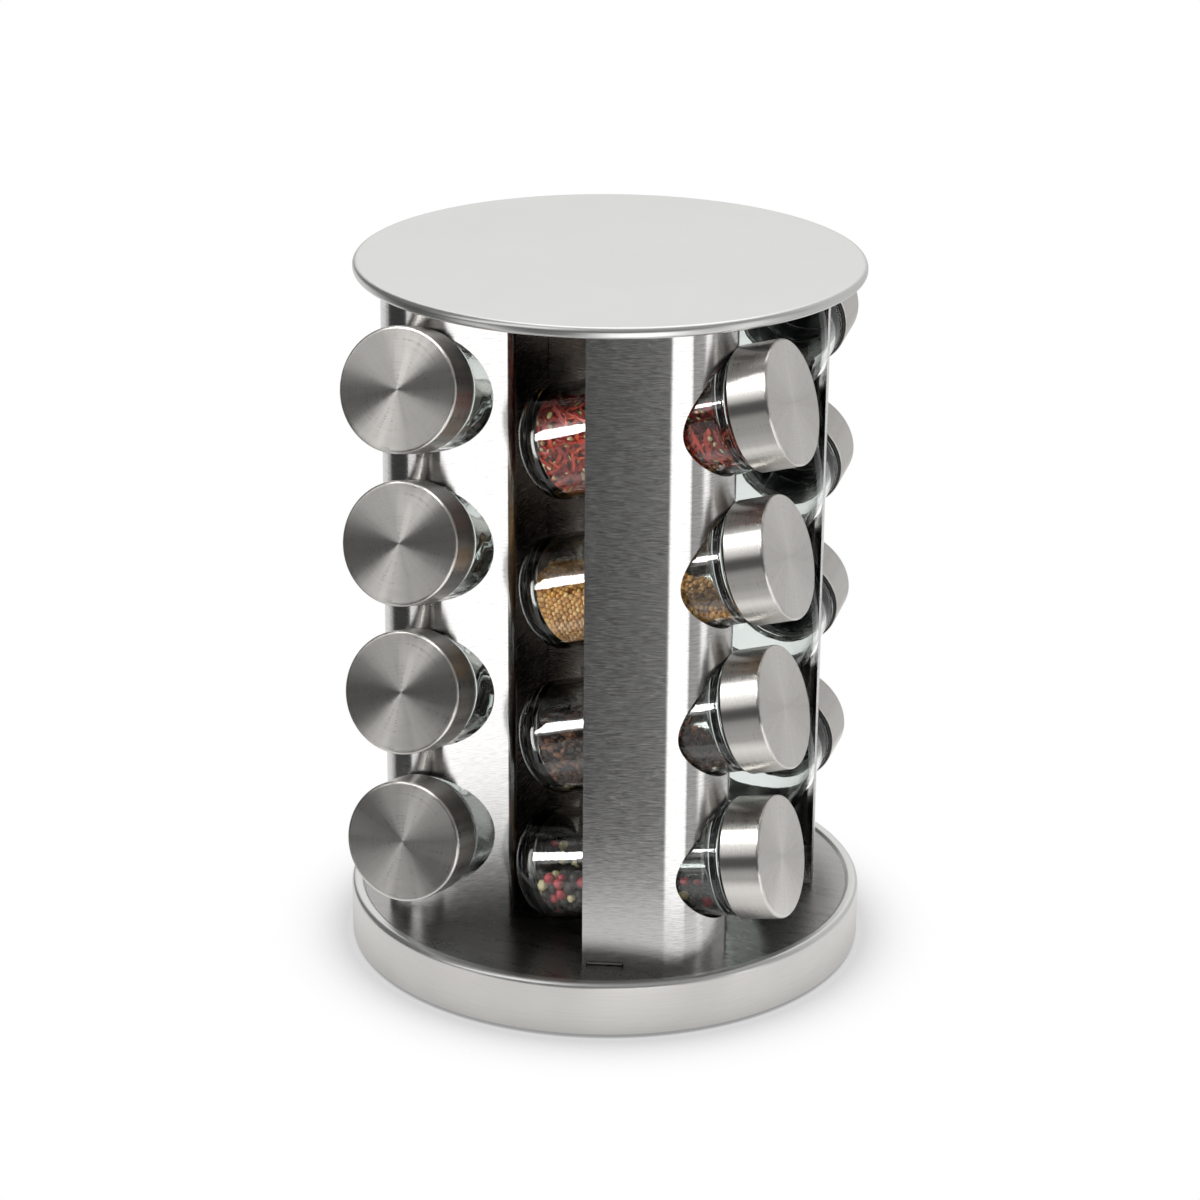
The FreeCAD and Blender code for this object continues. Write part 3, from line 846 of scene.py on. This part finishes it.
def ball(subdivisions, radius, lumps=0.0, seed=0, stretch=(1, 1, 1)):
    """Round grain, with wrinkles of the given height."""
    sphere = bmesh.new()
    bmesh.ops.create_icosphere(sphere, subdivisions=subdivisions, radius=1)
    points = []
    for vertex in sphere.verts:
        offset = noise.noise(vertex.co * 2.3 + Vector((seed * 7.1, 0, 0)))
        fine = noise.noise(vertex.co * 5.1 + Vector((0, seed * 5.3, 0)))
        reach = radius * (1 + lumps * (offset + 0.5 * fine))
        points.append(tuple(reach * value * factor for value, factor in zip(vertex.co, stretch)))
    faces = [[vertex.index for vertex in face.verts] for face in sphere.faces]
    sphere.free()
    return points, faces


def flake(length, width, thickness, curl, seed):
    """Cut strip of dried pepper: a thin curled ribbon with a ragged outline."""
    draw = random.Random(seed)
    steps = 7
    points, faces = [], []
    for step in range(steps + 1):
        share = step / steps - 0.5
        half = width / 2 * (1 - 0.8 * (2 * share) ** 4) * draw.uniform(0.75, 1.15)
        height = curl * math.cos(share * math.pi) + draw.uniform(-0.15, 0.15)
        bow = draw.uniform(-0.2, 0.2)
        for side, level in ((-half, 0), (half, 0.25), (half, 0.25 + thickness), (-half, thickness)):
            points.append((share * length, side + bow, height + level))
    for step in range(steps):
        for corner in range(4):
            after = (corner + 1) % 4
            faces.append((step * 4 + corner, step * 4 + after, step * 4 + 4 + after, step * 4 + 4 + corner))
    faces += [(0, 1, 2, 3), tuple(steps * 4 + corner for corner in (3, 2, 1, 0))]
    return points, faces


def clove(seed):
    """Clove: ribbed stem that widens to four lobes round a bud."""
    draw = random.Random(seed)
    length = draw.uniform(6.5, 9)
    outline = [(0, 0), (0.5, 0.05), (0.75, length * 0.3), (0.95, length * 0.6), (1.25, length * 0.74),
               (2.1, length * 0.86), (1.5, length * 0.88), (1.5, length * 0.95), (0.9, length), (0, length)]

    def lobes(radius, height, angle):
        four = math.cos(4 * angle)
        return 0.28 * radius * four if radius > 1.8 else 0.08 * radius * four + draw.uniform(-0.06, 0.06)

    points, faces = revolved(outline, 12, lobes)
    return [(x, y, z - length / 2) for x, y, z in points], faces


def scattered(templates, spots, draw, lay):
    """Copies of the templates at spots: lay(draw, spot) gives (template, turn, size, shade)."""
    points, faces, shades = [], [], []
    made = [(np.array(part[0]), part[1]) for part in templates]
    total = 0
    for spot in spots:
        choice, turn, size, shade = lay(draw, spot)
        shape, template_faces = made[choice]
        matrix = np.array(turn.to_matrix())
        points.append(shape @ matrix.T * size + np.array(spot))
        faces += [tuple(corner + total for corner in face) for face in template_faces]
        shades += [shade] * len(shape)
        total += len(shape)
    return np.concatenate(points), faces, shades


def any_turn(draw):
    return Euler([draw.uniform(0, TAU) for _ in range(3)])


def along_wall(draw, spot, tilt=0.35):
    """Turn that lays a flat piece against the glass, or on the free surface."""
    outward = Vector((spot[0], spot[1], 0))
    outward = outward.normalized() if outward.length > 8 else Vector((1, 0, 0))
    lean = Vector([draw.gauss(0, tilt) for _ in range(3)])
    flat = (outward + lean).normalized().to_track_quat("Z", "Y")
    spin = Euler((0, 0, draw.uniform(0, TAU))).to_quaternion()
    return (flat @ spin).to_euler()


def inside_jar(points, clearance=0.12):
    """Keep every corner of every grain clear of the glass."""
    for point in points:
        point[2] = min(max(point[2], GLASS_FLOOR + clearance), GLASS_MOUTH - 0.3)
        room = cavity_radius(point[2], clearance)
        reach = math.hypot(point[0], point[1])
        if reach > room:
            point[0] *= room / reach
            point[1] *= room / reach
    return points


def fill_core(level, depth):
    """Solid heart of the fill, coloured in painted shade, which shows only as dark between the grains."""
    sections = []
    places = [GLASS_FLOOR + depth + share * (GLASS_MOUTH - GLASS_FLOOR - 2 * depth) for share in
              (0, 0.03, 0.07, 0.15, 0.3, 0.4, 0.5, 0.6, 0.7, 0.75, 0.80, 0.84, 0.88, 1)]
    steps = 32
    for along in places:
        reach = cavity_radius(along) - depth
        cut = min(surface(level, along) - depth, reach * 0.98)
        if cut < -0.8 * reach:
            break
        start = math.acos(max(-1, cut / reach))
        ring = []
        for step in range(steps):
            angle = start + (TAU - 2 * start) * step / (steps - 1)
            ring.append((reach * math.cos(angle), reach * math.sin(angle), along))
        sections.append(ring)
    points = [point for ring in sections for point in ring]
    faces = []
    for section in range(len(sections) - 1):
        for step in range(steps):
            after = (step + 1) % steps
            faces.append((section * steps + step, section * steps + after,
                          (section + 1) * steps + after, (section + 1) * steps + step))
    faces += [tuple(range(steps)), tuple((len(sections) - 1) * steps + step for step in range(steps))[::-1]]
    return points, faces


def spice_fill(kind, column, row, level, core_depth, core_painted_shade, parts):
    """One jar's spice as a single piece: grains round a heart coloured in painted shade."""
    points, faces, shades = [], [], []
    for part_points, part_faces, part_shades in parts:
        faces += [tuple(corner + len(points) for corner in face) for face in part_faces]
        points += inside_jar([list(point) for point in part_points])
        shades += part_shades
    heart_points, heart_faces = fill_core(level, core_depth)
    faces += [tuple(corner + len(points) for corner in face) for face in heart_faces]
    points += heart_points
    # The heart takes the darkest tone of the ramp: painted shade between the grains
    shades += [core_painted_shade] * len(heart_points)
    fill = finished(f"{kind}_c{column}_r{row}", points, faces, MATERIALS[kind], math.radians(60))
    layer = fill.data.color_attributes.new("shade", "FLOAT_COLOR", "POINT")
    values = np.repeat(np.array(shades, np.float32)[:, None], 4, axis=1)
    values[:, 3] = 1
    layer.data.foreach_set("color", values.ravel())
    fill.matrix_world = jar_frame(column, row)
    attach(fill, f"jar_c{column}_r{row}")


def chilli(column, row, level=17.0):
    draw = random.Random(f"chilli {column} {row}")
    strips = [flake(draw.uniform(6, 12), draw.uniform(1.0, 2.2), 0.35, draw.uniform(0.2, 1.1), seed)
              for seed in range(12)]
    seeds = [ball(2, 1.0, 0.15, seed, (1.5, 1.15, 0.45)) for seed in range(5)]

    def lay_strip(draw, spot):
        return (draw.randrange(len(strips)), along_wall(draw, spot), draw.uniform(0.7, 1.1),
                draw.uniform(0.05, 0.6))

    def lay_seed(draw, spot):
        shade = draw.uniform(0.7, 1.0)
        return draw.randrange(len(seeds)), along_wall(draw, spot, 0.6), draw.uniform(0.7, 1.2), shade

    strip_spots = random_layer(draw, 2.1, level, 2.6, 26000)
    seed_spots = random_layer(draw, 2.7, level, 1.1, 5000)
    spice_fill("chilli", column, row, level, 2.6, 0.0,
               [scattered(strips, strip_spots, draw, lay_strip),
                scattered(seeds, seed_spots, draw, lay_seed)])


def mustard(column, row, level=10.0):
    draw = random.Random(f"mustard {column} {row}")
    size = 2.0
    seeds = [ball(2, size / 2, 0.05, seed) for seed in range(4)]

    def lay(draw, spot):
        return draw.randrange(len(seeds)), any_turn(draw), draw.uniform(0.93, 1.08), draw.betavariate(3, 2)

    spots = hex_layers(draw, size, level, 0.07)
    spice_fill("mustard", column, row, level, size * 0.75, 0.15, [scattered(seeds, spots, draw, lay)])


def cloves(column, row, level=8.0):
    draw = random.Random(f"cloves {column} {row}")
    whole = [clove(seed) for seed in range(5)]
    bits = [ball(2, 1.5, 0.5, seed, (1.3, 0.9, 0.7)) for seed in range(6)]

    def lay_whole(draw, spot):
        turn = along_wall(draw, spot, 0.4).to_quaternion() @ Euler((math.pi / 2, 0, 0)).to_quaternion()
        return draw.randrange(len(whole)), turn.to_euler(), draw.uniform(0.8, 1.1), draw.uniform(0.1, 0.9)

    def lay_bit(draw, spot):
        return draw.randrange(len(bits)), any_turn(draw), draw.uniform(0.7, 1.3), draw.uniform(0.0, 0.95)

    spice_fill("clove", column, row, level, 3.2, 0.0,
               [scattered(whole, random_layer(draw, 4.2, level, 3.0, 6000), draw, lay_whole),
                scattered(bits, random_layer(draw, 2.3, level, 2.8, 16000), draw, lay_bit)])


def peppercorns(column, row, level=6.0):
    draw = random.Random(f"pepper {column} {row}")
    size = 4.3
    corns = [ball(3, size / 2, 0.13, seed) for seed in range(6)]

    def lay(draw, spot):
        kind = draw.random()
        black, red, white = (0, 0.5), (0.66, 0.78), (0.9, 1)
        shade = draw.uniform(*(black if kind < 0.72 else red if kind < 0.87 else white))
        return draw.randrange(len(corns)), any_turn(draw), draw.uniform(0.82, 1.06), shade

    spots = hex_layers(draw, size, level, 0.10)
    spice_fill("pepper", column, row, level, size * 0.75, 0.0, [scattered(corns, spots, draw, lay)])


# ---------------------------------------------------------------- assembly

def keep_cad(node, material):
    """A CAD piece whose shape is right gets its finish only."""
    mesh = frame["nodes"][node].data
    mesh.materials.clear()
    mesh.materials.append(MATERIALS[material])


keep_cad("base_plate", "base_sheet")
keep_cad("rubber_feet", "rubber")
for part in ("bearing_lower_race", "bearing_balls", "bearing_upper_race"):
    keep_cad(part, "bearing_steel")

turntable_shell()
top_disc()
nuts()
for column in COLUMNS:
    column_panel(column)
    for row in ROWS:
        jar(column, row)
        cap(column, row)

chilli(1, 1)
mustard(1, 2)
cloves(1, 3)
peppercorns(1, 4)
cloves(2, 1)


# ---------------------------------------------------------------- studio

FRONT_TURN = math.radians(22.0)      # the camera stands this far round the object
FRONT = Matrix.Rotation(FRONT_TURN, 4, "Z")


def studio_camera():
    """Camera in front, slightly above the top."""
    data = bpy.data.cameras.new("camera")
    data.sensor_width = 36.0
    data.lens = 105.146
    data.clip_start = 0.05
    camera = bpy.data.objects.new("camera", data)
    bpy.context.scene.collection.objects.link(camera)
    pitch, yaw, roll = 0.361467, 0.005428, 0.007791
    camera.matrix_world = (FRONT @ Matrix.Translation((0.004015, -1.262349, 0.613759))
                           @ Matrix.Rotation(yaw, 4, "Z") @ Matrix.Rotation(math.pi / 2 - pitch, 4, "X")
                           @ Matrix.Rotation(roll, 4, "Z"))
    bpy.context.scene.camera = camera


def softbox(name, heading, height, distance, width, tall, radiance, lit=None):
    """Soft light at a heading (degrees from straight behind, clockwise) and elevation."""
    data = bpy.data.lights.new(name, "AREA")
    data.shape = "RECTANGLE"
    data.size, data.size_y = width, tall
    data.energy = radiance * math.pi * width * tall
    light = bpy.data.objects.new(name, data)
    bpy.context.scene.collection.objects.link(light)
    turn, lift = math.radians(heading), math.radians(height)
    aim = Vector((math.sin(turn) * math.cos(lift), math.cos(turn) * math.cos(lift), math.sin(lift)))
    middle = Vector((0, 0, 0.14))
    place = (-aim).to_track_quat("-Z", "Y").to_matrix().to_4x4()
    place.translation = middle + aim * distance
    light.matrix_world = FRONT @ place
    light.visible_camera = False
    if lit:
        light.light_linking.receiver_collection = lit


def lit_group(name, starts):
    """Collection of the pieces that a softbox may light, by the starts of their names."""
    group = bpy.data.collections.new(name)
    for obj in bpy.context.scene.objects:
        if obj.name.startswith(starts):
            group.objects.link(obj)
    return group


# What polished steel mirrors: heading and elevation of each card's middle, half its width and
# height, all in degrees, and its brightness. Heading 0 is straight behind, 90 is to the right.
CARDS = [
    (0, -46, 180, 44, 0.55), (0, -44, 52, 44, 0.90), (50, 8, 32, 38, 0.65), (300, 38, 40, 33, 0.15),
    (190, -15, 60, 45, 0.10), (262, 0, 16, 30, 0.05), (273, -25, 24, 38, 0.06), (240, -36, 9, 28, 1.30),
    (136, -25, 9, 38, 0.50), (117, -20, 6, 42, 1.60), (166, -31, 18.5, 31, 2.00), (0, 34, 30, 26, 0.98),
    (242, 23, 10, 9, 1.90), (226, 52, 19, 17, 1.70), (197, 0, 9, 70, 0.07), (323, 47, 11, 11, 0.10),
]
CARD_EDGE = 3.0         # width of a card's soft edge, in degrees
BARE_STUDIO = 0.35      # brightness between the cards
SOFT_FILL = 0.72        # what matt surfaces receive


def studio_world():
    """White surround for the eye; for reflections, a dim studio with bright and dark cards."""
    world = bpy.data.worlds.new("studio")
    bpy.context.scene.world = world
    world.use_nodes = True
    nodes, links = world.node_tree.nodes, world.node_tree.links
    nodes.clear()

    def add(kind, **properties):
        node = nodes.new("ShaderNode" + kind)
        for key, value in properties.items():
            setattr(node, key, value)
        return node

    def maths(operation, *values):
        node = add("Math", operation=operation)
        for socket, value in zip(node.inputs, values):
            if isinstance(value, (int, float)):
                socket.default_value = value
            else:
                links.new(value, socket)
        return node.outputs[0]

    def within(distance, half):
        """1 inside half, 0 outside, with a soft edge."""
        node = add("MapRange", interpolation_type="SMOOTHSTEP")
        for socket, number in (("From Min", half + CARD_EDGE / 2), ("From Max", half - CARD_EDGE / 2)):
            node.inputs[socket].default_value = number
        links.new(distance, node.inputs["Value"])
        return node.outputs["Result"]

    def blend(share, first, second):
        node = add("Mix", data_type="RGBA")
        links.new(share, node.inputs["Factor"])
        for socket, value in ((6, first), (7, second)):
            if isinstance(value, (int, float)):
                node.inputs[socket].default_value = (value, value, value, 1)
            else:
                links.new(value, node.inputs[socket])
        return node.outputs[2]

    where = add("TexCoord")
    turn = add("VectorRotate", rotation_type="Z_AXIS")
    turn.inputs["Angle"].default_value = -FRONT_TURN
    links.new(where.outputs["Generated"], turn.inputs["Vector"])
    parts = add("SeparateXYZ")
    links.new(turn.outputs[0], parts.inputs[0])
    x, y, z = parts.outputs
    heading = maths("DIVIDE", maths("ARCTAN2", x, y), TAU)
    elevation = maths("MULTIPLY", maths("ARCSINE", z), math.degrees(1))
    gloss = BARE_STUDIO
    for middle, height, half_width, half_height, brightness in CARDS:
        aside = maths("SUBTRACT", maths("FRACT", maths("ADD", heading, 2.5 - middle / 360)), 0.5)
        inside = within(maths("MULTIPLY", maths("ABSOLUTE", aside), 360.0), half_width)
        level = within(maths("ABSOLUTE", maths("SUBTRACT", elevation, height)), half_height)
        gloss = blend(maths("MULTIPLY", inside, level), gloss, brightness)
    path = add("LightPath")
    seen = blend(path.outputs["Is Diffuse Ray"], gloss, SOFT_FILL)
    shown = blend(path.outputs["Is Camera Ray"], seen, 1.0)
    background = add("Background")
    links.new(shown, background.inputs["Color"])
    links.new(background.outputs[0], add("OutputWorld").inputs["Surface"])


def table_top():
    """White table that glows so that it meets the white surround, with a painted contact shadow near the
    object.
    """
    material = bpy.data.materials.new("table")
    material.use_nodes = True
    nodes, links = material.node_tree.nodes, material.node_tree.links
    nodes.clear()
    # Painted contact shadow: the glow is dimmed by ambient occlusion near the object
    painted_contact_shadow = nodes.new("ShaderNodeAmbientOcclusion")
    painted_contact_shadow.samples = 12
    painted_contact_shadow.inputs["Distance"].default_value = 0.035
    spread = nodes.new("ShaderNodeMapRange")
    for socket, value in (("From Min", 0.25), ("From Max", 0.93), ("To Min", 0.30), ("To Max", 1.0)):
        spread.inputs[socket].default_value = value
    glow = nodes.new("ShaderNodeEmission")
    links.new(painted_contact_shadow.outputs["AO"], spread.inputs["Value"])
    links.new(spread.outputs["Result"], glow.inputs["Strength"])
    links.new(glow.outputs[0], nodes.new("ShaderNodeOutputMaterial").inputs["Surface"])
    return material


def disc_object(name, radius, height, material):
    flat = bmesh.new()
    bmesh.ops.create_circle(flat, cap_ends=True, segments=128, radius=radius)
    mesh = bpy.data.meshes.new(name)
    flat.to_mesh(mesh)
    flat.free()
    mesh.materials.append(material)
    obj = bpy.data.objects.new(name, mesh)
    obj.location.z = height
    bpy.context.scene.collection.objects.link(obj)
    return obj


def floor():
    """Large table for the eye and a small bright part of it for the steel to mirror."""
    material = table_top()
    wide = disc_object("floor", 4.0, -0.0002, material)
    wide.visible_glossy = False
    near = disc_object("floor_near", 0.19, -0.0001, material)
    near.visible_camera = False
    near.visible_diffuse = False
    near.visible_shadow = False
    near.visible_transmission = False


studio_camera()
studio_world()
floor()
glassware = lit_group("glassware", ("glass_", "chilli_", "mustard_", "clove_", "pepper_"))
caps = lit_group("caps", ("cap_",))
softbox("softbox_left", 240, 22, 1.6, 0.36, 0.36, 24, glassware)
softbox("softbox_right", 145, 22, 1.6, 0.30, 0.60, 5, glassware)
softbox("softbox_caps", 226, 52, 1.4, 1.1, 0.42, 7, caps)
softbox("softbox_top", 10, 70, 1.5, 1.2, 0.9, 1.2)
bpy.context.scene.view_settings.view_transform = "Standard"

bpy.context.view_layer.update()
